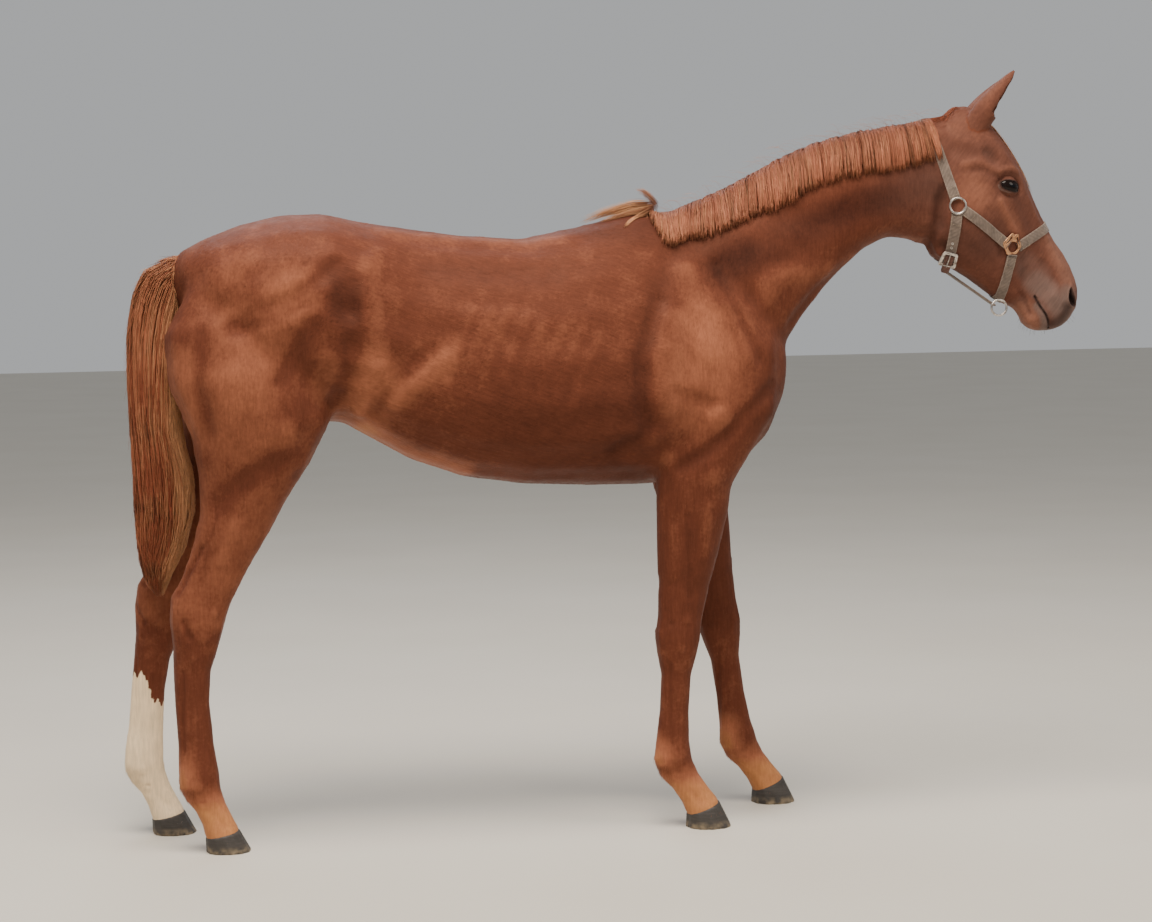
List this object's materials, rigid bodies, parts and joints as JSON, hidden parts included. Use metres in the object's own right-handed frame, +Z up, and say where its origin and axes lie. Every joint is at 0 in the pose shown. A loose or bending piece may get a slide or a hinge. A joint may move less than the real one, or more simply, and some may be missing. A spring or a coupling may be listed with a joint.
{
  "type": "horse",
  "caption": "Life-size standing horse with arched neck, forward ears, short mane on its right side, long tail and a webbing halter with metal rings.",
  "frame": {"origin": "middle of the horse's box, on the floor that its hooves stand on", "axes": "+X towards the head, +Y to the horse's left, +Z up"},
  "size_m": [2.5852, 0.5244, 1.9762],
  "materials": {
    "coat": "short flat chestnut hair, satin sheen",
    "sock": "short white hair, dusty",
    "hoof": "dark horn, finely ridged, satin",
    "eye": "wet and glossy, very dark brown",
    "mane": "straight coarse hair, sunburnt chestnut",
    "tail": "long straight hair, chestnut with flaxen streaks",
    "forelock": "long fine hair, golden",
    "webbing": "flat woven webbing, matt, worn",
    "brass": "cast and polished, worn",
    "steel": "nickel plated, worn"
  },
  "bodies": {
    "root": {"trunk": "coat", "neck": "coat", "head": "coat", "ear_right": "coat", "ear_left": "coat", "eye_right": "eye", "eye_left": "eye", "leg_fore_right_upper": "coat", "leg_fore_right_cannon": "coat", "leg_fore_right_pastern": "coat", "leg_fore_left_upper": "coat", "leg_fore_left_cannon": "coat", "leg_fore_left_pastern": "coat", "leg_hind_right_upper": "coat", "leg_hind_right_cannon": "coat", "leg_hind_right_pastern": "coat", "leg_hind_left_upper": "coat", "leg_hind_left_cannon": "sock", "leg_hind_left_pastern": "sock", "hoof_fore_right": "hoof", "hoof_fore_left": "hoof", "hoof_hind_right": "hoof", "hoof_hind_left": "hoof", "mane": "mane", "forelock": "forelock", "tail": "tail", "halter_crown": "webbing", "halter_cheek_right": "webbing", "halter_cheek_left": "webbing", "halter_nose": "webbing", "halter_chin": "webbing", "halter_throat": "webbing", "halter_jaw": "webbing", "halter_buckle": "steel", "halter_ring_upper_right": "steel", "halter_ring_upper_left": "steel", "halter_ring_nose_right": "brass", "halter_ring_nose_left": "brass", "halter_ring_chin": "steel"}
  },
  "joints": []
}
